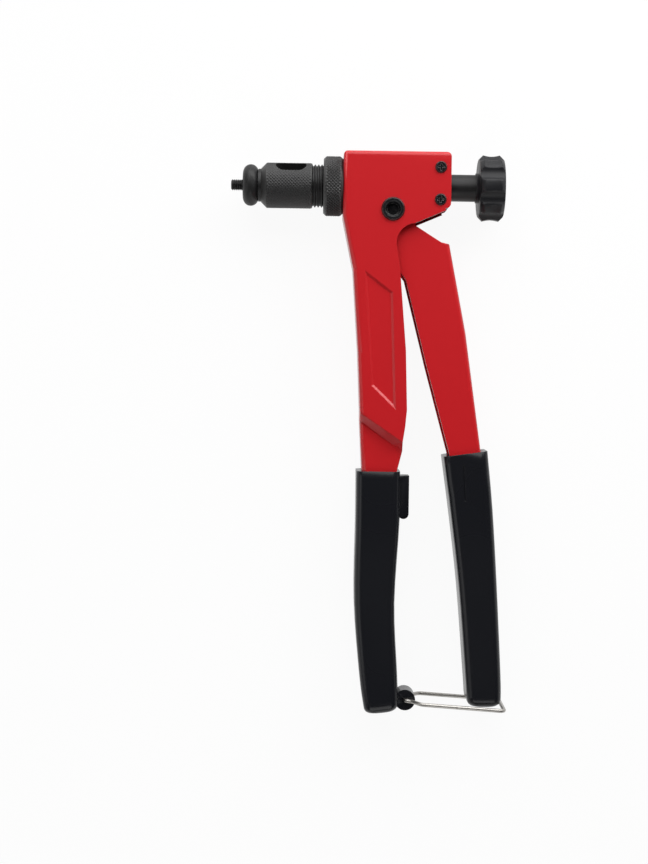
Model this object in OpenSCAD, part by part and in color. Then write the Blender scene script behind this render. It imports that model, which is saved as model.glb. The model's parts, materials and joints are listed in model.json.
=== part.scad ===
// Hand tool that sets rivet nuts, lying on its side.
// X runs along the nose from the nosepiece to the knob, Y runs up from the handles to the head,
// and Z runs through the thickness. The origin is the middle of the nosepiece's front face.

/* [Nose] */
// Outer diameter of the rounded nosepiece
anvil_d = 22.4; // [20:0.2:24]
// Length of the nosepiece in front of the sleeve
anvil_l = 9.8; // [8:0.2:12]
// Width across the nosepiece's wrench flats
anvil_flat = 20.8; // [20:0.2:22.4]
// Outer diameter of the windowed sleeve
sleeve_d = 24.4; // [23.8:0.2:27]
// Length of the sleeve between the nosepiece and the lock nut
sleeve_l = 33.3; // [30:0.5:40]
// Length of the sleeve's front chamfer
sleeve_chamfer = 2.8; // [1:0.2:3]
// Diameter of the thread on the sleeve's tail
thread_d = 23; // [22:0.2:23.4]
// Bore of the sleeve
sleeve_bore_d = 14; // [13.6:0.1:15]
// Length of each window in the sleeve
window_l = 16.5; // [12:0.5:18]
// Width of each window in the sleeve
window_w = 9.5; // [7:0.5:11]
// Turn of the windows about the nose
window_turn = 30; // [0:5:60]
// Outer diameter of the knurled lock nut
nut_d = 32.2; // [30:0.2:34]
// Length of the lock nut
nut_l = 10.5; // [9:0.5:13]

/* [Mandrel] */
// Diameter of the mandrel's threaded end
stud_d = 6; // [4:0.5:6]
// Length of mandrel that stands out of the nosepiece
stud_out = 6.4; // [5:0.2:9]
// Diameter of the plain root behind the thread
root_d = 6.4; // [6.2:0.1:7]
// Diameter of the mandrel's shank
shank_d = 13; // [12:0.1:13.2]
// Length of the mandrel's shank
shank_l = 34; // [30:0.5:35]
// Hole across the shank
cross_hole_d = 7.5; // [6:0.5:8]
// Diameter of the joining pin
join_d = 7.1; // [6:0.1:8]
// Length of the joining pin
join_l = 19.5; // [16:0.5:20]

/* [Head] */
// Length of the head along the nose
head_l = 57; // [55:0.5:62]
// Height of the head above the nose axis
head_top = 17.8; // [17.4:0.2:20]
// Depth of the head's rear corner below the nose axis
head_rear_drop = 12.3; // [11.8:0.1:14]
// Width of the head across its side plates
head_w = 30; // [29:0.5:32]
// Thickness of the folded steel
plate = 2; // [1.6:0.1:2.2]
// Outer radius of the steel's folds
fold_r = 2.4; // [1:0.2:3]
// Radius of the head's corners
corner_r = 2.8; // [1:0.2:4]
// Depth of the pressed panel in the fixed handle
panel_depth = 0.8; // [0.4:0.1:1.2]
// Diameter of the two rear screws on each side
screw_d = 4; // [3:0.5:4]
// Diameter of those screws' heads
screw_head_d = 6.4; // [6:0.2:7.4]

/* [Lever] */
// Width of the fixed handle below the head
handle_w = 22; // [21:0.5:23]
// Thickness of the spacers beside the lever
spacer_t = 1.6; // [1:0.1:2.5]
// Distance of the pivot behind the head's front
pivot_back = 26.5; // [26:0.25:28]
// Distance of the pivot below the nose axis
pivot_drop = 13; // [12.6:0.1:14]
// Diameter of the pivot pin
pivot_d = 9; // [7:0.5:9]
// Diameter of the pivot pin's heads
pivot_head_d = 12.6; // [11:0.2:14]
// Diameter of the studs that push the drawbar
drive_stud_d = 6; // [5:0.5:6.5]

/* [Grips] */
// Thickness of both grips
grip_t = 25.6; // [25:0.2:28]
// Rounding of the grips' long edges
grip_round = 4; // [3:0.5:5]
// Rounding of the grips' closed ends
grip_end_r = 4.5; // [3:0.5:5]
// Radius of the boss that holds the wire bail
boss_r = 5.5; // [4.5:0.25:6]
// Thickness of that boss
boss_t = 12; // [10:0.5:14]
// Width of the stop tab on the fixed grip
tab_w = 5.6; // [4:0.2:6]

/* [Knob] */
// Diameter of the knob over its lobes
knob_d = 35.4; // [32:0.2:38]
// Length of the knob
knob_l = 13.2; // [12:0.2:16]
// Number of lobes
knob_lobes = 8; // [6:1:10]
// Depth of the hollows between the lobes
knob_hollow = 2.2; // [1.5:0.1:2.6]
// Chamfer of the knob's ends
knob_edge = 2.2; // [1:0.2:3]
// Depth of the waist round the knob
knob_waist = 0.7; // [0:0.1:1]
// Diameter of the hub between the stem and the knob
hub_d = 16; // [15.4:0.2:18]
// Length of that hub
hub_l = 1.5; // [1:0.1:3]
// Length of stem between the head and the knob
stem_out = 15.6; // [14:0.2:20]
// Diameter of the stem
stem_d = 14.4; // [13.8:0.1:14.6]
// Diameter of the spindle inside the stem
spindle_d = 8; // [7:0.5:8.5]

/* [Bail] */
// Diameter of the bail's wire
wire_d = 2.1; // [1.8:0.1:2.4]
// Drop of the bail from its pivot to its loop, just below the end of the lever's grip
bail_angle = 3.6; // [3.4:0.1:6]

/* [Clearances] */
// Radial clearance of turning and sliding fits
run_fit = 0.05; // [0.02:0.01:0.1]
// Gap between pieces that move past each other
gap = 0.4; // [0.3:0.05:0.6]
// Clearance of pieces that stay together
seat_fit = 0.05; // [0.02:0.01:0.1]

/* [Hidden] */
$fn = 64;
over = 1;
mitre = 0.25;
nose_black = [0.10, 0.10, 0.10];
paint_red = [0.80, 0.07, 0.10];
grip_black = [0.04, 0.04, 0.05];
bright_steel = [0.72, 0.71, 0.68];

// The nose and the head, one behind the other
sleeve_x = anvil_l;
nut_x = sleeve_x + sleeve_l;
head_x = nut_x + nut_l;
bush_l = 7.4;
bush_wall = 1.5;
bush_shoulder = 1.2;
bush_x = head_x + plate;
tail_x = bush_x + bush_l;
spigot_l = 5;
spigot_wall = 1.8;
spigot_r = sleeve_bore_d / 2 + spigot_wall;
window_back = 2.7;
window_x = sleeve_x + spigot_l + window_back;
head_rear = head_x + head_l;
inner_w = head_w - 2 * plate;
guide_l = 11;
guide_x = head_rear - guide_l;
screw_up = 9.4;
screw_down = 7.7;
screw_grip = 6;
lever_w = inner_w - 2 * (spacer_t + gap);

// The pivot, the drawbar and how far the lever moves them
pivot_x = head_x + pivot_back;
pivot_y = -pivot_drop;
stud_slot = drive_stud_d / 2 + gap;
drawbar_front = 4.2;
drawbar_back = 4.6;
drawbar_x = pivot_x - stud_slot - drawbar_front;
drawbar_end = pivot_x + stud_slot + drawbar_back;
drawbar_w = lever_w - 2 * plate - 2 * gap;
drawbar_up = pivot_drop - pivot_d / 2 - 1.5 * gap;
lever_boss_r = 8.9;
lever_arm_r = 5.5;
spacer_rim = 2.2;
slot_depth = 3.2;

// The turning line from the mandrel to the knob
washer_t = 1.4;
washer_x = drawbar_x - run_fit - washer_t;
spindle_head_l = 11;
spindle_head_x = washer_x - run_fit - spindle_head_l;
shank_x = spindle_head_x - seat_fit - shank_l;
stem_x = drawbar_end + gap / 2;
knob_x = head_rear + stem_out;
knob_end = knob_x + knob_l;
cross_hole_back = 9.5;
screw_recess = 5;
knob_screw_d = 5;
knob_screw_l = 8;

// Handle outlines, measured from the head's front and from the pivot
joggle_left = [10.6, -121];
joggle_right = [33.4, -136];
joggle_drop = 5;
notch_centre = [39.2, -31];
notch_r = 10.7;
notch_arc = [for (a = [95 : 10.5 : 179]) notch_centre + notch_r * [cos(a), sin(a)]];
back_edge = [[9.1, -89], [5.9, -45], [0, -17]];
front_edge = [[30.7, -45], [34.4, -88], [35.4, -119], [34.6, -128]];
tang_left = [[12.1, -152], [12.2, -215], [16, -262]];
tang_right = [[30.7, -152], [28.8, -215], [30.6, -262]];
panel = [[12, -45.7], [27, -57], [29.5, -119], [16.5, -106.5]];
lever_left = [[-8.4, -3], [4.2, -33], [7.4, -37], [18.8, -81.5], [32.1, -130]];
lever_right = [[48.6, -127], [39.7, -65], [30.4, -18]];
lever_top = [[25.9, -17], [12.4, -8.5], [8.4, 3]];
lever_tang_left = [[36, -160], [40.5, -199], [44.6, -240]];
lever_tang_right = [[57.2, -240], [55.2, -199], [52.3, -160]];

// Grip sections as middle, height, width and slope, from the head's front and from the pivot
fixed_sections = [[20.9, -152, 23.4, 0], [21, -178, 23.4, 0], [19.9, -222, 21.4, 0],
                  [22.6, -260, 20, 6], [24.2, -280.5, 18.4, 6]];
lever_sections = [[40.6, -129, 23.4, 8], [44.4, -160, 22.2, 8], [48.2, -199, 20.2, 5],
                  [51.7, -247, 18.8, 2], [52.3, -263.5, 18.2, 0]];
boss_at = [37.1, -274];
tab_at = [32, -154.5];
tab_l = 23;

// The wire bail, from its pivot in the boss to its loop round the lever's grip
wire_r = wire_d / 2;
eye_bend = 1.6;
bail_in = boss_t / 2 + gap / 2 + eye_bend;
bail_out = grip_t / 2 + gap + wire_r;
lever_grip_edge = pivot_back + lever_sections[3][0] + lever_sections[3][2] / 2;
hook_slack = 0.3;
bail_l = (lever_grip_edge - boss_at[0] + gap + wire_r + hook_slack) / cos(bail_angle);
bail_bend = 3;
jog_from = eye_bend + 0.6;
jog_to = boss_r + 4;
bail_seat = 1.2;

// Points of an arc of a quarter turn in the X-Z plane
function quarter(centre, r, from, turn) =
    [for (i = [0 : 4]) let (a = from + turn * i / 4) [centre[0] + r * cos(a), 0, centre[1] + r * sin(a)]];

// A closed skin over rings of equal length, each turning right-handed about the way they follow
module skin(rings) {
    n = len(rings[0]);
    last = (len(rings) - 1) * n;
    sides = [for (i = [0 : len(rings) - 2], k = [0 : n - 1])
        [i * n + k, (i + 1) * n + k, (i + 1) * n + (k + 1) % n, i * n + (k + 1) % n]];
    first_cap = [for (k = [0 : n - 1]) k];
    last_cap = [for (k = [n - 1 : -1 : 0]) last + k];
    polyhedron([for (r = rings) each r], concat(sides, [first_cap, last_cap]), convexity = 8);
}

// Sides of a round tube that follows a path, with ref never along the path
function unit(v) = v / norm(v);
function along(path, i) = unit(path[min(i + 1, len(path) - 1)] - path[max(i - 1, 0)]);
function ring(p, t, ref, r, n) =
    let (u = unit(ref - (ref * t) * t), v = cross(t, u))
    [for (k = [0 : n - 1]) p + r * (cos(360 * k / n) * u + sin(360 * k / n) * v)];

module tube(path, r, ref, n) {
    skin([for (i = [0 : len(path) - 1]) ring(path[i], along(path, i), ref, r, n)]);
}

// A smooth curve through points of any size
function curve_point(a, b, c, d, u) =
    0.5 * (2 * b + (c - a) * u + (2 * a - 5 * b + 4 * c - d) * u * u + (3 * b - a - 3 * c + d) * u * u * u);
function curve(p, steps) = concat([for (i = [0 : len(p) - 2], s = [0 : steps - 1])
    curve_point(p[max(i - 1, 0)], p[i], p[i + 1], p[min(i + 2, len(p) - 1)], s / steps)], [p[len(p) - 1]]);

// A clockwise outline with count edges from the first one moved in by d
function edge_right(points, i) =
    let (n = len(points), v = unit(points[(i + 1) % n] - points[i % n])) [v[1], -v[0]];
function edge_in(i, n, first, count, d) = (i - first + n) % n < count ? d : 0;
function moved_in(points, first, count, d) = [for (i = [0 : len(points) - 1])
    let (n = len(points), j = (i + n - 1) % n, a = edge_right(points, j), b = edge_right(points, i), k = a * b,
        da = edge_in(j, n, first, count, d), db = edge_in(i, n, first, count, d))
    points[i] + ((da - k * db) * a + (db - k * da) * b) / (1 - k * k)];

// What a fold takes off the edge of length l between a side and the back, along X with the back towards +Y
module fold_cut(l, t) {
    run = fold_r * 1.25;
    rise = fold_r * 0.067;
    bend = [for (a = [30, 60]) fold_r * [cos(a) - 1, sin(a) - 1]];
    translate([-mitre, 0, t / 2]) rotate([90, 0, 90]) linear_extrude(height = l + 2 * mitre)
        polygon(concat([[rise, -run]], bend, [[-run, rise], [-run, over], [over, over], [over, -run]]));
}

// The same along count edges of a clockwise outline, on both sides
module fold_cuts(points, first, count, t) {
    n = len(points);
    for (i = [first : first + count - 1], side = [0, 1]) {
        v = points[(i + 1) % n] - points[i % n];
        translate(points[i % n]) rotate(atan2(v[1], v[0])) mirror([0, 0, side]) fold_cut(norm(v), t);
    }
}

// What a rounded corner takes off an outline, with the corner up and to the right
module corner_cut(r, t) {
    translate([-r, -r, 0]) difference() {
        translate([0, 0, -t / 2]) cube([r + over, r + over, t]);
        cylinder(h = t + over, r = r, center = true);
    }
}

// A cylinder along the nose axis
module rod(x, l, r) {
    translate([x, 0, 0]) rotate([0, 90, 0]) cylinder(h = l, r = r);
}

// A turned piece along the nose axis, from points of distance along it and radius
module turned(points) {
    rotate([90, 0, 90]) rotate_extrude() polygon([for (p = points) [p[1], p[0]]]);
}

// An outline as thick as t, centred on the tool's middle plane
module slab(points, t) {
    linear_extrude(height = t, center = true) polygon(points);
}

// A thin slice along the joggle in the fixed handle, lower by drop
slice = [0, -0.2];
function joggle_outline(drop, from) =
    let (left = joggle_left + [from, -drop], right = joggle_right + [0, -drop])
    [left, right, right + slice, left + slice];

function widened(points, dx) = [for (p = points) p + [dx, 0]];
function reversed(points) = [for (i = [len(points) - 1 : -1 : 0]) points[i]];

function upper_outline() = concat([[0, head_top], [head_l, head_top], [head_l, -head_rear_drop]], notch_arc,
    front_edge, [joggle_right, joggle_left], back_edge);
function lower_outline(fit) = concat([joggle_left - [fit, joggle_drop], joggle_right + [fit, -joggle_drop]],
    widened(tang_right, fit), reversed(widened(tang_left, -fit)));
function lever_outline() = concat(lever_left, lever_tang_left, lever_tang_right, lever_right, lever_top);

// Hollow of the folded steel, open towards the lever
module frame_hollow() {
    room = head_l + over;
    slab(concat([[plate, head_top - plate], [room, head_top - plate], [room, joggle_right[1]], joggle_right,
        joggle_left + [plate, 0]], widened(back_edge, plate)), inner_w);
    hull() {
        slab(joggle_outline(0, plate), inner_w);
        slab(joggle_outline(joggle_drop, plate), handle_w - 2 * plate);
    }
    slab(concat([joggle_left + [plate, -joggle_drop], joggle_right + [over, -joggle_drop]],
        widened(tang_right, over), [tang_left[2] + [plate, -over]], reversed(widened(tang_left, plate))),
        handle_w - 2 * plate);
}

module screw_places() {
    for (y = [screw_up, -screw_down], side = [0, 180])
        translate([head_rear - guide_l / 2, y, 0]) rotate([side, 0, 0]) children();
}

// A slice across the joggle, folded round at the back
module joggle_slice(drop, t) {
    for (a = [0 : 30 : 90])
        slab(joggle_outline(drop, fold_r * (1 - cos(a))), t - 2 * fold_r * (1 - sin(a)));
}

// The pressed panel's hollow, with sloping walls
module panel_hollow() {
    slope = 1.2;
    translate([0, 0, head_w / 2]) hull() {
        slab(panel, seat_fit);
        translate([0, 0, -panel_depth]) slab(moved_in(panel, 0, len(panel), slope), seat_fit);
    }
}

module frame() {
    upper = upper_outline();
    lower = lower_outline(0);
    upper_folds = len(back_edge) + 2;
    lower_folds = len(tang_left);
    color(paint_red) difference() {
        translate([head_x, 0, 0]) difference() {
            union() {
                slab(upper, head_w);
                hull() {
                    joggle_slice(0, head_w);
                    joggle_slice(joggle_drop, handle_w);
                }
                slab(lower, handle_w);
            }
            fold_cuts(upper, len(upper) - upper_folds + 1, upper_folds, head_w);
            fold_cuts(lower, len(lower) - lower_folds, lower_folds, handle_w);
            frame_hollow();
            for (side = [0, 180]) rotate([0, side, 0]) mirror([side / 180, 0, 0]) panel_hollow();
            translate([head_l, head_top, 0]) corner_cut(corner_r, head_w + over);
            translate([head_l, -head_rear_drop, 0]) mirror([0, 1, 0]) corner_cut(corner_r, head_w + over);
            translate([0, head_top, 0]) mirror([1, 0, 0]) corner_cut(corner_r, head_w + over);
        }
        rod(head_x - over, plate + 2 * over, thread_d / 2 + seat_fit);
        translate([pivot_x, pivot_y, 0]) cylinder(h = head_w + over, r = pivot_d / 2 + seat_fit, center = true);
        screw_places() cylinder(h = head_w, r = screw_d / 2 + seat_fit);
    }
}

module nose_bush() {
    low = -thread_d / 2 - bush_wall;
    color(nose_black) difference() {
        translate([bush_x, low, -inner_w / 2]) cube([bush_l + bush_shoulder, head_top - plate - low, inner_w]);
        rod(bush_x - over, bush_l + over, thread_d / 2 + seat_fit);
        rod(bush_x, bush_l + bush_shoulder + over, sleeve_bore_d / 2);
    }
}

module lock_nut() {
    edge = 1.1;
    r = nut_d / 2;
    bore = thread_d / 2 + seat_fit;
    color(nose_black) turned([[nut_x, bore], [nut_x, r - edge], [nut_x + edge, r],
        [head_x - edge, r], [head_x, r - edge], [head_x, bore]]);
}

module nose_sleeve() {
    r = sleeve_d / 2;
    relief = 6;
    step = 0.4;
    bore = sleeve_bore_d / 2;
    seat = spigot_r + seat_fit;
    spigot_end = sleeve_x + spigot_l + seat_fit;
    color(nose_black) difference() {
        turned([[sleeve_x, seat], [sleeve_x, r - sleeve_chamfer], [sleeve_x + sleeve_chamfer, r],
            [nut_x - relief, r],
            [nut_x - relief + step, thread_d / 2], [tail_x, thread_d / 2], [tail_x, bore],
            [spigot_end, bore], [spigot_end, seat]]);
        rotate([window_turn, 0, 0]) translate([window_x + window_w / 2, 0, 0]) rotate([90, 0, 0])
            for (x = [0, window_l - window_w])
                translate([x, 0, 0]) cylinder(h = sleeve_d + over, r = window_w / 2, center = true);
        rotate([window_turn, 0, 0]) translate([window_x + window_l / 2, 0, 0])
            cube([window_l - window_w, sleeve_d + over, window_w], center = true);
    }
}

module nosepiece() {
    r = anvil_d / 2;
    neck = 1.6;
    face_r = 8;
    round_r = (anvil_l - neck) / 2;
    neck_r = spigot_r - gap;
    crown = [for (a = [160 : -20 : 20])
        [round_r + round_r * cos(a), r - round_r + round_r * sin(a)]];
    color(nose_black) difference() {
        turned(concat([[0, root_d / 2 + gap], [0, face_r]], crown,
            [[anvil_l - neck, neck_r], [anvil_l, neck_r], [anvil_l, spigot_r],
            [anvil_l + spigot_l, spigot_r], [anvil_l + spigot_l, root_d / 2 + gap]]));
        for (turn = [30 : 60 : 330]) rotate([turn, 0, 0])
            translate([round_r, anvil_flat / 2, -anvil_d / 2]) cube([anvil_l - round_r, anvil_d, anvil_d]);
    }
}

module rear_guide() {
    low = plate - head_rear_drop;
    color(nose_black) difference() {
        translate([guide_x, low, -inner_w / 2]) cube([guide_l, head_top - plate - low, inner_w]);
        rod(guide_x - over, guide_l + 2 * over, stem_d / 2 + run_fit);
        screw_places() cylinder(h = head_w, r = screw_d / 2 + seat_fit);
    }
}

module rear_screws() {
    tip = inner_w / 2 - screw_grip;
    head_t = 1;
    recess = 0.6;
    cross_l = 3.6;
    cross_w = 0.9;
    color(nose_black) screw_places() difference() {
        union() {
            translate([0, 0, tip]) cylinder(h = head_w / 2 - tip, r = screw_d / 2);
            translate([0, 0, head_w / 2])
                cylinder(h = head_t, r1 = screw_head_d / 2, r2 = screw_head_d / 2 - head_t / 2);
        }
        for (turn = [0, 90])
            translate([0, 0, head_w / 2 + head_t]) rotate(turn)
                cube([cross_l, cross_w, 2 * recess], center = true);
    }
}

module pivot_pin() {
    head_t = 1.2;
    rim = 1.3;
    bowl_r = pivot_head_d / 2 - rim;
    floor_r = 3.2;
    bowl = 3.4;
    color(nose_black) translate([pivot_x, pivot_y, 0]) difference() {
        union() {
            cylinder(h = head_w, r = pivot_d / 2, center = true);
            for (side = [0, 180]) rotate([side, 0, 0]) translate([0, 0, head_w / 2])
                cylinder(h = head_t, r1 = pivot_head_d / 2, r2 = pivot_head_d / 2 - rim / 2);
        }
        for (side = [0, 180]) rotate([side, 0, 0]) translate([0, 0, head_w / 2 + head_t - bowl])
            cylinder(h = bowl, r1 = floor_r, r2 = pivot_d / 2 - rim / 2);
        for (side = [0, 180]) rotate([side, 0, 0]) translate([0, 0, head_w / 2])
            cylinder(h = head_t + over, r1 = floor_r, r2 = bowl_r);
    }
}

module pivot_spacers() {
    r = pivot_head_d / 2 + spacer_rim;
    color(bright_steel) translate([pivot_x, pivot_y, 0]) for (side = [0, 180])
        rotate([side, 0, 0]) translate([0, 0, inner_w / 2 - spacer_t]) difference() {
            cylinder(h = spacer_t, r = r);
            translate([0, 0, -over]) cylinder(h = spacer_t + 2 * over, r = pivot_d / 2 + seat_fit);
        }
}

// A rounded ring across a grip, smaller all round by d and moved down by drop
function grip_ring(section, d, drop) = [for (q = [0 : 3], j = [0 : 4])
    let (a = 90 * q + 22.5 * j, right = q == 0 || q == 3 ? 1 : -1, up = q < 2 ? 1 : -1,
        x = right * (section[2] / 2 - d - grip_round) + grip_round * cos(a),
        z = up * (grip_t / 2 - d - grip_round) + grip_round * sin(a))
    [section[0] + x, section[1] + x * tan(section[3]) - drop, z]];

// A moulded grip that follows its sections, rounded at the closed end
module grip_body(sections) {
    end = sections[len(sections) - 1] + [0, grip_end_r, 0, 0];
    path = curve(concat([for (i = [0 : len(sections) - 2]) sections[i]], [end]), 4);
    closing = [for (a = [20 : 20 : 80]) grip_ring(end, grip_end_r - grip_end_r * cos(a), grip_end_r * sin(a))];
    skin(concat([for (p = path) grip_ring(p, 0, 0)], closing));
}

module fixed_grip() {
    color(grip_black) translate([head_x, 0, 0]) difference() {
        union() {
            grip_body(fixed_sections);
            translate([tab_at[0], tab_at[1] - tab_l + tab_w / 2, -boss_t / 2])
                cube([tab_w, tab_l - tab_w / 2, boss_t]);
            translate([tab_at[0] + tab_w / 2, tab_at[1] - tab_l + tab_w / 2, 0])
                cylinder(h = boss_t, r = tab_w / 2, center = true);
            translate(boss_at) cylinder(h = boss_t, r = boss_r, center = true);
        }
        slab(concat([tang_left[0] + [-seat_fit, over], tang_right[0] + [seat_fit, over]],
            widened(tang_right, seat_fit),
            [tang_right[2] + [seat_fit, -seat_fit], tang_left[2] - [seat_fit, seat_fit]],
            reversed(widened(tang_left, -seat_fit))), handle_w + 2 * seat_fit);
        translate(boss_at) cylinder(h = boss_t + over, r = wire_r + run_fit, center = true);
    }
}

module return_spring() {
    turns = 4;
    steps = 16;
    spring_wire = 1.4;
    r = stem_d / 2 + gap + spring_wire / 2;
    from = drawbar_end + spring_wire / 2 + seat_fit;
    to = guide_x - spring_wire / 2 - seat_fit;
    path = [for (i = [0 : turns * steps]) let (a = 360 * i / steps)
        [from + (to - from) * i / (turns * steps), r * cos(a), r * sin(a)]];
    color(bright_steel) tube(path, spring_wire / 2, [1, 0, 0], 8);
}

module lever() {
    room = 2 * pivot_drop + lever_boss_r;
    inner = lever_w - 2 * plate;
    outline = reversed(lever_outline());
    color(paint_red) translate([pivot_x, pivot_y, 0]) difference() {
        union() {
            slab(outline, lever_w);
            cylinder(h = lever_w, r = lever_boss_r, center = true);
            slab([[-lever_boss_r, 0], [lever_boss_r, 0], [lever_arm_r, pivot_drop], [-lever_arm_r, pivot_drop]],
                lever_w);
            translate([0, pivot_drop, 0]) cylinder(h = lever_w, r = lever_arm_r, center = true);
        }
        fold_cuts(outline, len(lever_top), len(lever_right) + len(lever_tang_right) - 1, lever_w);
        slab(concat([[-room, room], [lever_right[0][0], room], [lever_right[0][0], lever_right[2][1]]],
            reversed(widened(lever_right, -plate)), reversed(widened(lever_tang_right, -plate)),
            [lever_tang_right[0] + [-plate, -over], [-room, lever_tang_right[0][1] - over]]), inner);
        cylinder(h = lever_w + over, r = pivot_d / 2 + run_fit, center = true);
        translate([0, pivot_drop, 0])
            cylinder(h = lever_w + over, r = drive_stud_d / 2 + seat_fit, center = true);
    }
}

module lever_grip() {
    fit_left = concat([lever_left[4]], lever_tang_left);
    fit_right = concat(lever_tang_right, [lever_right[0]]);
    color(grip_black) translate([pivot_x, pivot_y, 0]) difference() {
        grip_body(lever_sections);
        slab(concat([fit_left[0] + [-2 * over, 6 * over]], widened(fit_left, -seat_fit),
            [fit_left[3] - [seat_fit, seat_fit], fit_right[0] + [seat_fit, -seat_fit]],
            widened(fit_right, seat_fit), [fit_right[3] + [over, 6 * over]]), lever_w + 2 * seat_fit);
    }
}

module drive_studs() {
    l = (lever_w - drawbar_w) / 2 + slot_depth - gap;
    color(bright_steel) translate([pivot_x, 0, 0]) for (side = [0, 180])
        rotate([side, 0, 0]) translate([0, 0, lever_w / 2 - l]) cylinder(h = l, r = drive_stud_d / 2);
}

module drawbar() {
    l = drawbar_end - drawbar_x;
    color(bright_steel) difference() {
        translate([drawbar_x, -drawbar_up, -drawbar_w / 2]) cube([l, 2 * drawbar_up, drawbar_w]);
        rod(drawbar_x - over, l + 2 * over, spindle_d / 2 + run_fit);
        for (side = [-1, 1])
            translate([pivot_x, 0, side * drawbar_w / 2])
                cube([2 * stud_slot, 4 * drawbar_up, 2 * slot_depth], center = true);
    }
}

module mandrel() {
    end = shank_x + shank_l;
    bore = join_d / 2 + seat_fit;
    tip = 0.8;
    stud_r = stud_d / 2;
    color(nose_black) difference() {
        turned([[-stud_out, 0], [-stud_out, stud_r - tip], [tip - stud_out, stud_r], [0, stud_r],
            [0, root_d / 2], [shank_x, root_d / 2], [shank_x, shank_d / 2 - tip], [shank_x + tip, shank_d / 2],
            [end, shank_d / 2], [end, bore],
            [end - join_l / 2, bore], [end - join_l / 2, 0]]);
        translate([shank_x + cross_hole_back, 0, 0]) rotate([window_turn, 0, 0]) rotate([90, 0, 0])
            cylinder(h = shank_d + over, r = cross_hole_d / 2, center = true);
    }
}

module joining_pin() {
    middle = shank_x + shank_l;
    r = join_d / 2;
    tip = 0.5;
    waist = 3;
    groove = 1;
    half = join_l / 2 - seat_fit;
    color(bright_steel) turned([[middle - half, 0], [middle - half, r - tip], [middle - half + tip, r],
        [middle - waist, r], [middle - groove, r - groove], [middle + groove, r - groove], [middle + waist, r],
        [middle + half - tip, r], [middle + half, r - tip], [middle + half, 0]]);
}

module spindle() {
    bore = join_d / 2 + seat_fit;
    floor_x = spindle_head_x + join_l / 2;
    head_end = spindle_head_x + spindle_head_l;
    r = spindle_d / 2;
    end = knob_end - screw_recess;
    hole = knob_screw_d / 2 + seat_fit;
    hole_x = end - knob_screw_l - seat_fit;
    color(bright_steel) turned([[spindle_head_x, bore], [spindle_head_x, shank_d / 2], [head_end, shank_d / 2],
        [head_end, r], [end, r], [end, hole], [hole_x, hole], [hole_x, 0], [floor_x, 0], [floor_x, bore]]);
}

module thrust_washer() {
    bore = spindle_d / 2 + seat_fit;
    r = stem_d / 2 + gap;
    end = washer_x + washer_t;
    color(bright_steel) turned([[washer_x, bore], [washer_x, r], [end, r], [end, bore]]);
}

module knob_stem() {
    bore = spindle_d / 2 + seat_fit;
    r = stem_d / 2;
    color(nose_black) turned([[stem_x, bore], [stem_x, r], [knob_x, r], [knob_x, bore]]);
}

module knob() {
    r = knob_d / 2;
    hollow_r = 5.4;
    bore = spindle_d / 2 + seat_fit;
    seat = knob_screw_d + gap;
    hub_bore = stem_d / 2 + seat_fit;
    barrel = knob_l - 2 * knob_edge;
    side = [for (i = [0 : 6]) [knob_x + knob_edge + barrel * i / 6, r - knob_waist * sin(30 * i)]];
    color(grip_black) difference() {
        turned(concat([[knob_x, bore], [knob_x, hub_bore], [knob_x - hub_l, hub_bore],
            [knob_x - hub_l, hub_d / 2],
            [knob_x, hub_d / 2], [knob_x, r - knob_edge]], side, [[knob_end, r - knob_edge],
            [knob_end, seat], [knob_end - screw_recess, seat], [knob_end - screw_recess, bore]]));
        for (i = [0 : knob_lobes - 1]) rotate([360 * (i + 0.5) / knob_lobes, 0, 0])
            translate([0, r - knob_hollow + hollow_r, 0]) rod(knob_x - over, knob_l + 2 * over, hollow_r);
    }
}

module knob_screw() {
    r = knob_screw_d / 2;
    end = knob_end - screw_recess;
    head_t = 3;
    socket_r = 2.2;
    socket = 2;
    color(nose_black) difference() {
        union() {
            rod(end - knob_screw_l, knob_screw_l, r);
            rod(end, head_t, knob_screw_d);
        }
        translate([end + head_t - socket, 0, 0]) rotate([0, 90, 0])
            cylinder(h = socket + over, r = socket_r, $fn = 6);
    }
}

// Half of the bail's path, from its eye in the boss to the middle of its loop
function jog(u) = u * u * (3 - 2 * u);
function bail_leg() = concat([[0, 0, bail_seat]], quarter([eye_bend, bail_in - eye_bend], eye_bend, 180, -90),
    [for (u = [0 : 0.2 : 1]) [jog_from + (jog_to - jog_from) * u, 0, bail_in + (bail_out - bail_in) * jog(u)]],
    quarter([bail_l - bail_bend, bail_out - bail_bend], bail_bend, 90, -90));

module bail() {
    leg = bail_leg();
    other = [for (i = [len(leg) - 1 : -1 : 0]) [leg[i][0], 0, -leg[i][2]]];
    color(bright_steel) translate([head_x + boss_at[0], boss_at[1], 0]) rotate(-bail_angle)
        tube(concat(leg, other), wire_r, [0, 1, 0], 12);
}

frame();
nose_bush();
lock_nut();
nose_sleeve();
nosepiece();
rear_guide();
rear_screws();
pivot_pin();
pivot_spacers();
fixed_grip();
return_spring();
lever();
lever_grip();
drive_studs();
drawbar();
mandrel();
joining_pin();
spindle();
thrust_washer();
knob_stem();
knob();
knob_screw();
bail();
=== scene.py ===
"""Rivet nut tool lying on its side on a pale floor, seen from straight above."""

import json
import math

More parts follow.
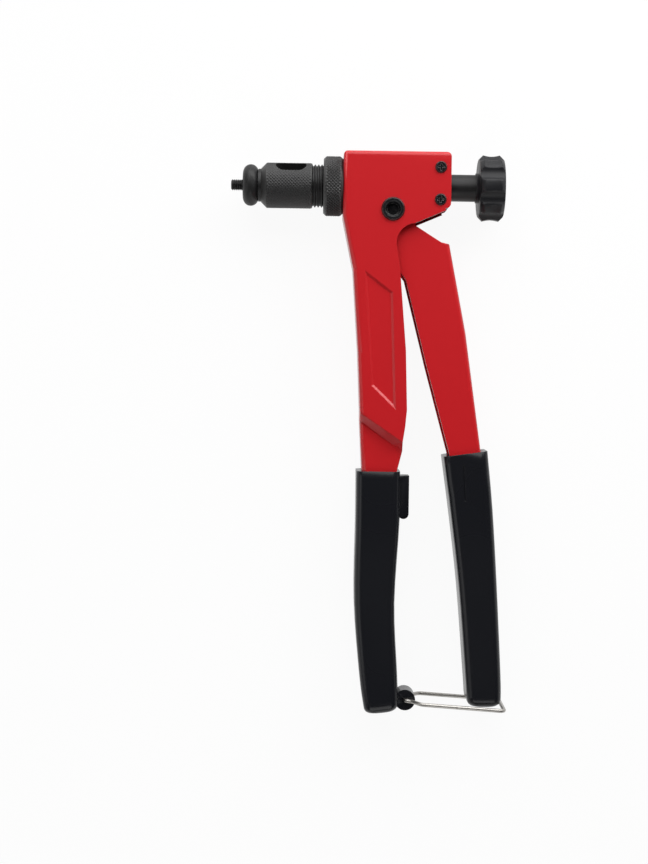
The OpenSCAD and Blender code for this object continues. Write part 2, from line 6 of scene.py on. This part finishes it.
import bmesh
import bpy
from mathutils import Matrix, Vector


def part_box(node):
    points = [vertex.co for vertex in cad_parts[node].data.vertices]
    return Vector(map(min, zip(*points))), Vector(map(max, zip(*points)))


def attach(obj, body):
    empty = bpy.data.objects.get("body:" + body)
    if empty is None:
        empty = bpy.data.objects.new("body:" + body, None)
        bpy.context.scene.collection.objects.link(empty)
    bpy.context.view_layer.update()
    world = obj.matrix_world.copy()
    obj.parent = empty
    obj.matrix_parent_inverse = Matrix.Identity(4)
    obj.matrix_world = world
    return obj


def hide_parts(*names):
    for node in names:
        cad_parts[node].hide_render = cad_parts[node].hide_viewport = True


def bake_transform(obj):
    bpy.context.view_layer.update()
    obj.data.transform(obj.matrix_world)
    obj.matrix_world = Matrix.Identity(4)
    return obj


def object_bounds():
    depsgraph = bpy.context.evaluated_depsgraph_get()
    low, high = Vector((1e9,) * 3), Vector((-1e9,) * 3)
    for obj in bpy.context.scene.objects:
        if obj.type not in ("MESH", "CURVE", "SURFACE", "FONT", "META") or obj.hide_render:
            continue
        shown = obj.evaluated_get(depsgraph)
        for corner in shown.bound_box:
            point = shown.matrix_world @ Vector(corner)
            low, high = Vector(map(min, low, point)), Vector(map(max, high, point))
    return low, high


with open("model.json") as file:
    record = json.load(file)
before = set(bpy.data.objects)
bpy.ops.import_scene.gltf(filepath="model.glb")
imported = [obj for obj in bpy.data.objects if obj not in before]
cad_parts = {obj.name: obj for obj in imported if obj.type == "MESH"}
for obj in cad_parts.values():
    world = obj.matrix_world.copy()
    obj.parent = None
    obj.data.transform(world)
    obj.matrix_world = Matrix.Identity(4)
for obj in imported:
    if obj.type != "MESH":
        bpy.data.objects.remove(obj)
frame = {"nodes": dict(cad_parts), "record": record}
cad_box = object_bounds()

# Lengths are in millimetres and turns in degrees, unless a comment says otherwise
MM = 0.001
MERGE = 0.001
NO_TURN = (0, 0, 0)


# Tools of the bench

def clear_selection():
    if bpy.context.object and bpy.context.object.mode != "OBJECT":
        bpy.ops.object.mode_set(mode="OBJECT")
    bpy.ops.object.select_all(action="DESELECT")


def take(piece):
    """Makes one piece the only selected and active one."""
    clear_selection()
    piece.select_set(True)
    bpy.context.view_layer.objects.active = piece


def edit(piece):
    """Takes a piece into edit mode, with all of it selected."""
    take(piece)
    bpy.ops.object.mode_set(mode="EDIT")
    bpy.ops.mesh.select_all(action="SELECT")


def done():
    bpy.ops.object.mode_set(mode="OBJECT")


def apply_place(piece):
    take(piece)
    bpy.ops.object.transform_apply(location=True, rotation=True, scale=True)


def merge_points():
    """In edit mode, merges the selected points that lie on each other."""
    bpy.ops.mesh.remove_doubles(threshold=MERGE * MM)


def smooth(piece, angle):
    take(piece)
    bpy.ops.object.shade_smooth_by_angle(angle=math.radians(angle))


def modify(piece, kind, **settings):
    """Adds a modifier with its settings and applies it."""
    take(piece)
    bpy.ops.object.modifier_add(type=kind)
    modifier = piece.modifiers[-1]
    for name, value in settings.items():
        setattr(modifier, name, value)
    bpy.ops.object.modifier_apply(modifier=modifier.name)


def combine(piece, tool, operation):
    """Joins, cuts or meets a piece with a tool, which is used up."""
    modify(piece, "BOOLEAN", operation=operation, object=tool, solver="EXACT")
    bpy.data.objects.remove(tool)


def select_points(piece, test):
    """In edit mode, selects the points whose place a test accepts."""
    bpy.ops.mesh.select_all(action="DESELECT")
    bpy.ops.mesh.select_mode(type="VERT")
    mesh = bmesh.from_edit_mesh(piece.data)
    for point in mesh.verts:
        point.select = test(point.co / MM)
    mesh.select_flush_mode()
    bmesh.update_edit_mesh(piece.data)


def box_of(node):
    """The low and the high corner of a construction solid."""
    return [[value / MM for value in corner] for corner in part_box(node)]


def copy_of(node, name):
    """A copy of a construction solid, with its loose triangles merged."""
    piece = bpy.data.objects.new(name, frame["nodes"][node].data.copy())
    bpy.context.collection.objects.link(piece)
    piece.data.materials.clear()
    edit(piece)
    merge_points()
    done()
    return piece


def block(name, size, place, turn=NO_TURN):
    clear_selection()
    bpy.ops.mesh.primitive_cube_add(size=1, location=Vector(place) * MM,
                                    rotation=[math.radians(angle) for angle in turn])
    piece = bpy.context.object
    piece.name = name
    piece.scale = Vector(size) * MM
    apply_place(piece)
    return piece


def round_bar(name, radius, length, place, turn, sides=48):
    clear_selection()
    bpy.ops.mesh.primitive_cylinder_add(vertices=sides, radius=radius * MM, depth=length * MM,
                                        location=Vector(place) * MM,
                                        rotation=[math.radians(angle) for angle in turn])
    piece = bpy.context.object
    piece.name = name
    apply_place(piece)
    return piece


def turn_on_lathe(name, profile, sides):
    """A turned piece along X: a closed profile of distance and radius is drawn and spun."""
    clear_selection()
    bpy.ops.mesh.primitive_plane_add(size=MM)
    piece = bpy.context.object
    piece.name = name
    edit(piece)
    bpy.ops.mesh.merge(type="CENTER")
    bpy.ops.transform.translate(value=(profile[0][0] * MM, profile[0][1] * MM, 0))
    for (x0, r0), (x1, r1) in zip(profile, profile[1:] + profile[:1]):
        step = ((x1 - x0) * MM, (r1 - r0) * MM, 0)
        bpy.ops.mesh.extrude_region_move(TRANSFORM_OT_translate={"value": step})
    bpy.ops.mesh.select_all(action="SELECT")
    merge_points()
    bpy.ops.mesh.select_all(action="SELECT")
    bpy.ops.mesh.spin(steps=sides, angle=2 * math.pi, center=(0, 0, 0), axis=(1, 0, 0))
    bpy.ops.mesh.select_all(action="SELECT")
    merge_points()
    bpy.ops.mesh.normals_make_consistent(inside=False)
    done()
    return piece


def thread_profile(start, end, crest, root, pitch):
    """Points of a thread's flanks, with the share of the pitch at which each lies."""
    flanks = ((0.10, root), (0.42, crest), (0.58, crest), (0.90, root))
    turns = round((end - start) / pitch)
    return [(start + (i + share) * pitch, radius) for i in range(turns) for share, radius in flanks]


def knurl_rows(band, radius, pitch):
    """Points of a turned band, a row of the knurl apart."""
    start, end = band
    rows = round((end - start) / pitch)
    return [(start + (end - start) * i / rows, radius) for i in range(rows + 1)]


def raise_knurl(piece, band, radius, pitch, sides, depth):
    """Raises every other point of a turned band, which leaves the diamonds of a knurl."""
    start, end = band
    row_step = (end - start) / round((end - start) / pitch)
    end_margin, radius_margin = 0.1, 0.05

    def is_crest(p):
        if not (start + end_margin < p.x < end - end_margin):
            return False
        if abs(math.hypot(p.y, p.z) - radius) > radius_margin:
            return False
        around = round(math.atan2(p.z, p.y) / (2 * math.pi / sides))
        return (around + round((p.x - start) / row_step)) % 2 == 0

    edit(piece)
    select_points(piece, is_crest)
    grow = (radius + depth) / radius
    bpy.ops.transform.resize(value=(1, grow, grow), center_override=(0, 0, 0))
    bpy.ops.mesh.select_all(action="SELECT")
    bpy.ops.mesh.quads_convert_to_tris(quad_method="SHORTEST_DIAGONAL")
    done()


def dress(piece, material, replaced):
    """Gives a finished piece its material and hides the node that it stands for."""
    piece.data.materials.clear()
    piece.data.materials.append(material)
    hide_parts(replaced)


def put(piece, body, material, replaced):
    """Dresses a finished piece that rides on one body."""
    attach(piece, body)
    dress(piece, material, replaced)


# Finishes, each with patches of colour and gloss, a fine relief and paler edges, which are wear on most and
# a painted highlight on the red enamel and the black lacquer

NOISE_LOW, NOISE_HIGH = 0.2, 0.8
EDGE_SAMPLES = 8
# How far the rounded normal lies along the face's own, where the paler edge (wear, and painted highlight on
# some finishes) starts and where it is full
EDGE_PLAIN, EDGE_FULL = 0.97, 0.75
# Pointiness in the valleys of a knurl and on its crests
VALLEY, CREST = 0.47, 0.58


def noise(tree, scale, detail=0.0):
    """A noise on the piece's own coordinates, in features per metre."""
    place = tree.nodes.new("ShaderNodeTexCoord")
    texture = tree.nodes.new("ShaderNodeTexNoise")
    texture.inputs["Scale"].default_value = scale
    texture.inputs["Detail"].default_value = detail
    tree.links.new(place.outputs["Object"], texture.inputs["Vector"])
    return texture.outputs["Fac"]


def map_range(tree, value, start, end, low, high, interpolation="LINEAR"):
    """A value that goes from low to high as another goes from start to end."""
    ramp = tree.nodes.new("ShaderNodeMapRange")
    ramp.interpolation_type = interpolation
    ramp.inputs["From Min"].default_value = start
    ramp.inputs["From Max"].default_value = end
    ramp.inputs["To Min"].default_value = low
    ramp.inputs["To Max"].default_value = high
    tree.links.new(value, ramp.inputs["Value"])
    return ramp.outputs["Result"]


def calculate(tree, operation, first, second):
    """The result of a math node on two values."""
    node = tree.nodes.new("ShaderNodeMath")
    node.operation = operation
    tree.links.new(first, node.inputs[0])
    tree.links.new(second, node.inputs[1])
    return node.outputs[0]


def tint(tree, value, dark, light, socket):
    """Maps a noise onto a range of colour."""
    ramp = tree.nodes.new("ShaderNodeValToRGB")
    ramp.color_ramp.interpolation = "EASE"
    for element, position, colour in zip(ramp.color_ramp.elements, (NOISE_LOW, NOISE_HIGH), (dark, light)):
        element.position = position
        element.color = (*colour, 1)
    tree.links.new(value, ramp.inputs["Fac"])
    tree.links.new(ramp.outputs["Color"], socket)


def bump(tree, value, height, edge, shader):
    """A fine relief over edges that the shading rounds. Gives back the rounded normal."""
    rounded = tree.nodes.new("ShaderNodeBevel")
    rounded.samples = EDGE_SAMPLES
    rounded.inputs["Radius"].default_value = edge * MM
    relief = tree.nodes.new("ShaderNodeBump")
    relief.inputs["Strength"].default_value = 1.0
    relief.inputs["Distance"].default_value = height * MM
    tree.links.new(value, relief.inputs["Height"])
    tree.links.new(rounded.outputs["Normal"], relief.inputs["Normal"])
    tree.links.new(relief.outputs["Normal"], shader.inputs["Normal"])
    return rounded.outputs["Normal"]


def let_through(tree, share, wear_and_highlight, shader):
    """Lets a paler colour through by a share of the surface: edge wear, and painted highlights on some
    finishes.
    """
    mix = tree.nodes.new("ShaderNodeMix")
    mix.data_type = "RGBA"
    mix.inputs["B"].default_value = (*wear_and_highlight, 1)
    colour = shader.inputs["Base Color"].links[0].from_socket
    tree.links.new(share, mix.inputs["Factor"])
    tree.links.new(colour, mix.inputs["A"])
    tree.links.new(mix.outputs["Result"], shader.inputs["Base Color"])


def wear_and_highlight_edges(tree, rounded, wear_and_highlight, most, shader):
    """Makes the edges paler where the rounded normal leaves the face's own: wear on most finishes, a
    painted highlight on the red enamel and the black lacquer.
    """
    face = tree.nodes.new("ShaderNodeNewGeometry")
    along = tree.nodes.new("ShaderNodeVectorMath")
    along.operation = "DOT_PRODUCT"
    tree.links.new(rounded, along.inputs[0])
    tree.links.new(face.outputs["Normal"], along.inputs[1])
    share = map_range(tree, along.outputs["Value"], EDGE_PLAIN, EDGE_FULL, 0.0, most)
    let_through(tree, share, wear_and_highlight, shader)


def paint_crest_glints(tree, wear_and_highlight, shader):
    """Paints a paler grey on the points that stand out of a knurl, a painted glint."""
    face = tree.nodes.new("ShaderNodeNewGeometry")
    share = map_range(tree, face.outputs["Pointiness"], VALLEY, CREST, 0.0, 1.0)
    let_through(tree, share, wear_and_highlight, shader)


def new_finish(name, colours, patches, roughness, gloss_patches, grain, grain_detail, relief,
               edge, wear_and_highlight, wear_and_highlight_most):
    """A material and its shader. Patches and grain are in features per metre."""
    material = bpy.data.materials.new(name)
    material.use_nodes = True
    tree = material.node_tree
    shader = tree.nodes["Principled BSDF"]
    tint(tree, noise(tree, patches), *colours, shader.inputs["Base Color"])
    gloss = map_range(tree, noise(tree, gloss_patches), NOISE_LOW, NOISE_HIGH, *roughness, "SMOOTHSTEP")
    tree.links.new(gloss, shader.inputs["Roughness"])
    rounded = bump(tree, noise(tree, grain, grain_detail), relief, edge, shader)
    wear_and_highlight_edges(tree, rounded, wear_and_highlight, wear_and_highlight_most, shader)
    return material, shader


def red_enamel():
    # The lighter red along the edges is a painted highlight.
    material, shader = new_finish(
        "red_enamel", colours=((0.523, 0.0139, 0.0184), (0.533, 0.0143, 0.0189)), patches=9,
        roughness=(0.28, 0.30), gloss_patches=14, grain=400, grain_detail=2, relief=0.003,
        edge=0.35, wear_and_highlight=(0.62, 0.03, 0.036), wear_and_highlight_most=0.4)
    shader.inputs["Specular IOR Level"].default_value = 0.3
    shader.inputs["Coat Weight"].default_value = 0.12
    shader.inputs["Coat Roughness"].default_value = 0.1
    return material


def black_oxide():
    material, shader = new_finish(
        "black_oxide", colours=((0.0065, 0.0065, 0.0072), (0.0095, 0.0093, 0.0092)), patches=40,
        roughness=(0.41, 0.50), gloss_patches=70, grain=2600, grain_detail=2, relief=0.01,
        edge=0.07, wear_and_highlight=(0.11, 0.107, 0.10), wear_and_highlight_most=0.8)
    shader.inputs["Specular IOR Level"].default_value = 0.35
    return material


def knurled_black(name, crests):
    """Black oxide whose raised points are painted a paler grey, a painted glint on the knurl."""
    material, shader = new_finish(
        name, colours=((0.007, 0.007, 0.008), (0.010, 0.010, 0.010)), patches=40,
        roughness=(0.39, 0.47), gloss_patches=70, grain=2600, grain_detail=2, relief=0.006,
        edge=0.06, wear_and_highlight=(0.09, 0.087, 0.082), wear_and_highlight_most=0.5)
    paint_crest_glints(material.node_tree, crests, shader)
    shader.inputs["Specular IOR Level"].default_value = 0.45
    return material


def black_lacquer():
    # The pale grey along the edges, on the screws' crosses and the pivot's rim, is a painted highlight.
    material, shader = new_finish(
        "black_lacquer", colours=((0.007, 0.007, 0.008), (0.013, 0.013, 0.014)), patches=260,
        roughness=(0.14, 0.26), gloss_patches=500, grain=1800, grain_detail=2, relief=0.004,
        edge=0.3, wear_and_highlight=(0.30, 0.29, 0.28), wear_and_highlight_most=0.8)
    shader.inputs["Coat Weight"].default_value = 0.3
    return material


def grip_vinyl():
    material, shader = new_finish(
        "grip_vinyl", colours=((0.0083, 0.0088, 0.0113), (0.0098, 0.0103, 0.0128)), patches=12,
        roughness=(0.25, 0.31), gloss_patches=25, grain=120, grain_detail=0, relief=0.03,
        edge=0.4, wear_and_highlight=(0.02, 0.021, 0.024), wear_and_highlight_most=0.5)
    shader.inputs["Specular IOR Level"].default_value = 0.26
    shader.inputs["Coat Weight"].default_value = 0.05
    shader.inputs["Coat Roughness"].default_value = 0.1
    return material


def knob_plastic():
    material, shader = new_finish(
        "knob_plastic", colours=((0.0115, 0.0115, 0.0133), (0.0140, 0.0140, 0.0158)), patches=40,
        roughness=(0.39, 0.45), gloss_patches=70, grain=1400, grain_detail=2, relief=0.012,
        edge=0.4, wear_and_highlight=(0.05, 0.05, 0.052), wear_and_highlight_most=0.6)
    shader.inputs["Specular IOR Level"].default_value = 0.25
    return material


def bright_wire():
    material, shader = new_finish(
        "bright_wire", colours=((0.37, 0.355, 0.335), (0.43, 0.415, 0.39)), patches=40,
        roughness=(0.36, 0.44), gloss_patches=70, grain=900, grain_detail=2, relief=0.004,
        edge=0.2, wear_and_highlight=(0.62, 0.60, 0.57), wear_and_highlight_most=0.5)
    shader.inputs["Metallic"].default_value = 1.0
    return material


RED = red_enamel()
BLACK = black_oxide()
# The second colour of each is the painted glint on the knurl's crests.
KNURLED = knurled_black("knurled_black", (0.034, 0.033, 0.033))
KNURLED_DARK = knurled_black("knurled_dark", (0.018, 0.0175, 0.0175))
LACQUER = black_lacquer()
VINYL = grip_vinyl()
PLASTIC = knob_plastic()
WIRE = bright_wire()


# Folded steel, moulded grips and the knob

FACE_WEIGHT = 80
FOLD_ANGLE = 32
GRIP_ANGLE = 40
KNOB_ANGLE = 30
WIRE_ANGLE = 50

# The box that holds the edges of the pressed panel
PANEL_X = (65, 84)
PANEL_Y = (-120, -45)
PANEL_DEEP = 1.1

# The slit in the lever's grip
SLIT_WIDE, SLIT_LONG, SLIT_DEEP = 1.0, 19, 0.5
SLIT_X, SLIT_Y = 120.2, -157.5
SLIT_TURN = 3.8
SLIT_OVER = 0.4


def weigh_normals(piece):
    """Keeps large flat faces flat in the shading beside small curved ones."""
    modify(piece, "WEIGHTED_NORMAL", keep_sharp=True, weight=FACE_WEIGHT)


def soften(node, name, angle):
    """A copy of a solid whose small facets shade as one curve beside its flat faces."""
    piece = copy_of(node, name)
    smooth(piece, angle)
    weigh_normals(piece)
    return piece


def make_steel():
    """The head with its handle, whose pressed panel keeps crisp edges, and the lever."""
    side = box_of("frame")[1][2]

    def is_panel(p):
        in_outline = PANEL_X[0] < p.x < PANEL_X[1] and PANEL_Y[0] < p.y < PANEL_Y[1]
        return in_outline and abs(p.z) > side - PANEL_DEEP

    channel = copy_of("frame", "head_and_handle")
    smooth(channel, FOLD_ANGLE)
    edit(channel)
    select_points(channel, is_panel)
    bpy.ops.mesh.mark_sharp()
    done()
    weigh_normals(channel)
    put(channel, "frame", RED, "frame")
    put(soften("lever", "lever_channel", FOLD_ANGLE), "lever", RED, "lever")


def make_grips():
    fixed = soften("fixed_grip", "fixed_grip_moulded", GRIP_ANGLE)
    put(fixed, "frame", VINYL, "fixed_grip")
    grip = copy_of("lever_grip", "lever_grip_moulded")
    top = box_of("lever_grip")[1][2]
    slit = block("slit", (SLIT_WIDE, SLIT_LONG, SLIT_DEEP + SLIT_OVER),
                 (SLIT_X, SLIT_Y, top + (SLIT_OVER - SLIT_DEEP) / 2), (0, 0, SLIT_TURN))
    combine(grip, slit, "DIFFERENCE")
    smooth(grip, GRIP_ANGLE)
    weigh_normals(grip)
    put(grip, "lever", VINYL, "lever_grip")


def make_knob():
    put(soften("knob", "knob_lobed", KNOB_ANGLE), "spindle", PLASTIC, "knob")


# The nose

KNURL_ANGLE = 10
TURNED_ANGLE = 30
SEAT_FIT = 0.05
TAIL_CREST, TAIL_ROOT, TAIL_PITCH = 11.5, 10.6, 1.8
TAIL_FIT = 0.1
SPIGOT_R, SPIGOT_LONG = 8.8, 5
NECK_R = 3.2
NECK_FIT = 0.4
WINDOW_TURN = 30
CUT_THROUGH = 40


def make_lock_nut():
    (low, _, _), (high, radius, _) = box_of("lock_nut")
    sides, pitch, depth = 112, 0.9, 0.45
    edge = 1.1
    bore = TAIL_CREST + TAIL_FIT
    core = radius - depth
    band = (low + edge, high - edge)
    profile = [(low, bore), (low, core - edge)]
    profile += knurl_rows(band, core, pitch)
    profile += [(high, core - edge), (high, bore)]
    nut = turn_on_lathe("lock_nut_knurled", profile, sides)
    raise_knurl(nut, band, core, pitch, sides, depth)
    smooth(nut, KNURL_ANGLE)
    put(nut, "frame", KNURLED, "lock_nut")


def cut_windows(sleeve, start):
    """Cuts the two round-ended windows across the sleeve."""
    long, wide = 16.5, 9.5
    for x in (start + wide / 2, start + long - wide / 2):
        window_end = round_bar("window_end", wide / 2, CUT_THROUGH, (x, 0, 0), (90 + WINDOW_TURN, 0, 0))
        combine(sleeve, window_end, "DIFFERENCE")
    middle = block("window_middle", (long - wide, CUT_THROUGH, wide), (start + long / 2, 0, 0),
                   (WINDOW_TURN, 0, 0))
    combine(sleeve, middle, "DIFFERENCE")


def make_sleeve():
    (low, _, _), (high, radius, _) = box_of("nose_sleeve")
    nut_x = box_of("lock_nut")[0][0]
    sides, pitch, depth = 88, 0.86, 0.2
    bore, edge, window_back = 7.0, 2.8, 2.7
    thread_turns, groove, shoulder, land = 3, 0.2, 0.6, 0.2
    seat = SPIGOT_R + SEAT_FIT
    seat_x = low + SPIGOT_LONG + SEAT_FIT
    thread_x = nut_x - thread_turns * TAIL_PITCH
    groove_x = thread_x - groove
    shoulder_x = groove_x - shoulder
    core = radius - depth
    band = (low + edge, shoulder_x - land)
    profile = [(seat_x, bore), (seat_x, seat), (low, seat), (low, core - edge)]
    profile += knurl_rows(band, core, pitch)
    profile += [(shoulder_x, core), (groove_x, TAIL_ROOT)]
    profile += thread_profile(thread_x, nut_x, TAIL_CREST, TAIL_ROOT, TAIL_PITCH)
    profile += [(nut_x, TAIL_CREST), (high, TAIL_CREST), (high, bore)]
    sleeve = turn_on_lathe("nose_sleeve_windowed", profile, sides)
    raise_knurl(sleeve, band, core, pitch, sides, depth)
    cut_windows(sleeve, low + SPIGOT_LONG + window_back)
    smooth(sleeve, KNURL_ANGLE)
    put(sleeve, "frame", KNURLED_DARK, "nose_sleeve")


def make_nosepiece():
    (low, _, _), (high, radius, _) = box_of("nosepiece")
    sleeve_x = box_of("nose_sleeve")[0][0]
    sides, neck, face_r = 96, 1.6, 7.6
    flat_r, flats, tool, front_over = 10.4, 6, 30, 2
    crown_turns = range(165, 10, -15)
    bore = NECK_R + NECK_FIT
    half = (sleeve_x - neck) / 2
    crown = [(half + half * math.cos(a), radius - half + half * math.sin(a))
             for a in map(math.radians, crown_turns)]
    profile = [(low, bore), (low, face_r)] + crown
    profile += [(sleeve_x - neck, SPIGOT_R), (high, SPIGOT_R), (high, bore)]
    piece = turn_on_lathe("nosepiece_round", profile, sides)
    # The wrench flats are on the rear half alone, so the tool that leaves them has a block in front
    wrench = round_bar("flats", flat_r / math.cos(math.pi / flats), tool, (half + tool / 2, 0, 0),
                       (0, 90, 0), flats)
    front = block("front_half", (half + front_over, tool, tool), ((half - front_over) / 2, 0, 0))
    combine(wrench, front, "UNION")
    combine(piece, wrench, "INTERSECT")
    smooth(piece, TURNED_ANGLE)
    put(piece, "frame", BLACK, "nosepiece")


def make_mandrel():
    (low, _, _), (high, shank_r, _) = box_of("mandrel")
    sides, tip_r, lead = 64, 2.3, 0.2
    crest, root, pitch = 3.0, 2.5, 1.0
    shank_long, chamfer = 34, 0.8
    hole_r, hole_back, hole_long = 3.75, 9.5, 20
    shank_x = high - shank_long
    profile = [(low, 0), (low, tip_r)]
    profile += thread_profile(low + lead, 0, crest, root, pitch)
    profile += [(0, NECK_R), (shank_x, NECK_R), (shank_x, shank_r - chamfer)]
    profile += [(shank_x + chamfer, shank_r), (high, shank_r), (high, 0)]
    mandrel = turn_on_lathe("mandrel_threaded", profile, sides)
    hole = round_bar("cross_hole", hole_r, hole_long, (shank_x + hole_back, 0, 0), (90 + WINDOW_TURN, 0, 0))
    combine(mandrel, hole, "DIFFERENCE")
    smooth(mandrel, TURNED_ANGLE)
    put(mandrel, "spindle", BLACK, "mandrel")


# Bail, spring and the pieces that keep their construction shape

def finish_nodes():
    finishes = {"black_steel": BLACK, "bright_steel": WIRE, "red_paint": RED,
                "knob_plastic": PLASTIC, "grip_vinyl": VINYL}
    lacquered = ("rear_screws", "pivot_pin")
    slots = {part["node"]: part["material_slot"] for part in frame["record"]["subparts"]}
    for name, piece in frame["nodes"].items():
        piece.data.materials.clear()
        piece.data.materials.append(LACQUER if name in lacquered else finishes[slots[name]])


def make_bail():
    wire = copy_of("bail", "bail_wire")
    smooth(wire, WIRE_ANGLE)
    put(wire, "bail", WIRE, "bail")


def make_spring():
    """The return spring between the drawbar and the rear guide, left in its place on no body."""
    spring = copy_of("return_spring", "return_spring_coil")
    smooth(spring, WIRE_ANGLE)
    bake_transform(spring)
    dress(spring, WIRE, "return_spring")


finish_nodes()
make_steel()
make_grips()
make_lock_nut()
make_sleeve()
make_nosepiece()
make_mandrel()
make_knob()
make_bail()
make_spring()


# The stage: a pale floor, soft lamps and the camera above

FLOOR_SIZE = 6000
FLOOR_BELOW = 0.2
FLOOR_GREY = (0.9, 0.9, 0.9, 1)
# The share of plain white in the floor as the camera and mirrors see it; the rest takes shadows
FLOOR_WHITE = 0.93

# Strength of the sky at the sides and overhead, and the heights between which it changes, from 0 to 1
SKY_SIDE, SKY_TOP = 0.5, 0.08
SKY_SIDE_HEIGHT, SKY_TOP_HEIGHT = 0.55, 0.95
# Mirrors see a white sky below the first of these heights, and none of it above the second
WHITE_SKY_FULL, WHITE_SKY_END = 0.10, 0.35
WHITE = (1, 1, 1, 1)

LAMP_AIM = (75, -130, 0)

# How the photograph was taken
PHOTO_TALL_PIXELS = 864
PIXEL = 0.53
PHOTO_TALL = PIXEL * PHOTO_TALL_PIXELS
PHOTO_MIDDLE = (44.8, -131.5)
PHOTO_TURN = 0.88
PHOTO_PLANE = 11
CAMERA_HEIGHT = 830
CAMERA_FOOT_Y = -92
SENSOR = 36


def make_floor():
    clear_selection()
    bpy.ops.mesh.primitive_plane_add(size=FLOOR_SIZE * MM, location=(0, 0, cad_box[0].z - FLOOR_BELOW * MM))
    floor = bpy.context.object
    floor.name = "floor"
    material = bpy.data.materials.new("pale_floor")
    material.use_nodes = True
    tree = material.node_tree
    tree.nodes.clear()
    matte = tree.nodes.new("ShaderNodeBsdfDiffuse")
    matte.inputs["Color"].default_value = FLOOR_GREY
    glow = tree.nodes.new("ShaderNodeEmission")
    path = tree.nodes.new("ShaderNodeLightPath")
    seen = calculate(tree, "MAXIMUM", path.outputs["Is Camera Ray"], path.outputs["Is Glossy Ray"])
    mix = tree.nodes.new("ShaderNodeMixShader")
    tree.links.new(map_range(tree, seen, 0, 1, 0, FLOOR_WHITE), mix.inputs["Fac"])
    tree.links.new(matte.outputs[0], mix.inputs[1])
    tree.links.new(glow.outputs[0], mix.inputs[2])
    output = tree.nodes.new("ShaderNodeOutputMaterial")
    tree.links.new(mix.outputs[0], output.inputs["Surface"])
    floor.data.materials.append(material)


def make_sky():
    """A sky that lights by its height, and is white where the camera sees it."""
    world = bpy.data.worlds.new("studio")
    world.use_nodes = True
    tree = world.node_tree
    way = tree.nodes.new("ShaderNodeTexCoord")
    parts = tree.nodes.new("ShaderNodeSeparateXYZ")
    tree.links.new(way.outputs["Generated"], parts.inputs[0])
    height = parts.outputs["Z"]
    sky = tree.nodes["Background"]
    strength = map_range(tree, height, SKY_SIDE_HEIGHT, SKY_TOP_HEIGHT, SKY_SIDE, SKY_TOP, "SMOOTHSTEP")
    tree.links.new(strength, sky.inputs["Strength"])
    white = tree.nodes.new("ShaderNodeBackground")
    white.inputs["Color"].default_value = WHITE
    path = tree.nodes.new("ShaderNodeLightPath")
    low = map_range(tree, height, WHITE_SKY_END, WHITE_SKY_FULL, 0, 1)
    mirrored = calculate(tree, "MULTIPLY", path.outputs["Is Glossy Ray"], low)
    seen = tree.nodes.new("ShaderNodeMixShader")
    tree.links.new(calculate(tree, "MAXIMUM", path.outputs["Is Camera Ray"], mirrored), seen.inputs["Fac"])
    tree.links.new(sky.outputs[0], seen.inputs[1])
    tree.links.new(white.outputs[0], seen.inputs[2])
    tree.links.new(seen.outputs[0], tree.nodes["World Output"].inputs["Surface"])
    bpy.context.scene.world = world


def lamp(name, place, size, watts):
    clear_selection()
    bpy.ops.object.light_add(type="AREA", location=Vector(place) * MM)
    light = bpy.context.object
    light.name = name
    light.data.size = size * MM
    light.data.energy = watts
    aim = Vector(LAMP_AIM) - Vector(place)
    light.rotation_euler = aim.to_track_quat("-Z", "Y").to_euler()


def make_lamps():
    lamp("top_lamp", place=(50, 850, 600), size=1300, watts=17.8)
    lamp("right_lamp", place=(700, 500, 420), size=450, watts=4.5)
    lamp("left_lamp", place=(-800, -300, 700), size=700, watts=2)
    lamp("low_lamp", place=(100, -1000, 700), size=700, watts=3)


def make_camera():
    clear_selection()
    place = Vector((PHOTO_MIDDLE[0], CAMERA_FOOT_Y, CAMERA_HEIGHT)) * MM
    bpy.ops.object.camera_add(location=place, rotation=(0, 0, math.radians(PHOTO_TURN)))
    camera = bpy.context.object
    camera.data.sensor_width = SENSOR
    camera.data.lens = SENSOR * (CAMERA_HEIGHT - PHOTO_PLANE) / PHOTO_TALL
    camera.data.shift_y = (PHOTO_MIDDLE[1] - CAMERA_FOOT_Y) / PHOTO_TALL
    bpy.context.scene.camera = camera


make_floor()
make_sky()
make_lamps()
make_camera()
bpy.context.scene.view_settings.view_transform = "Standard"
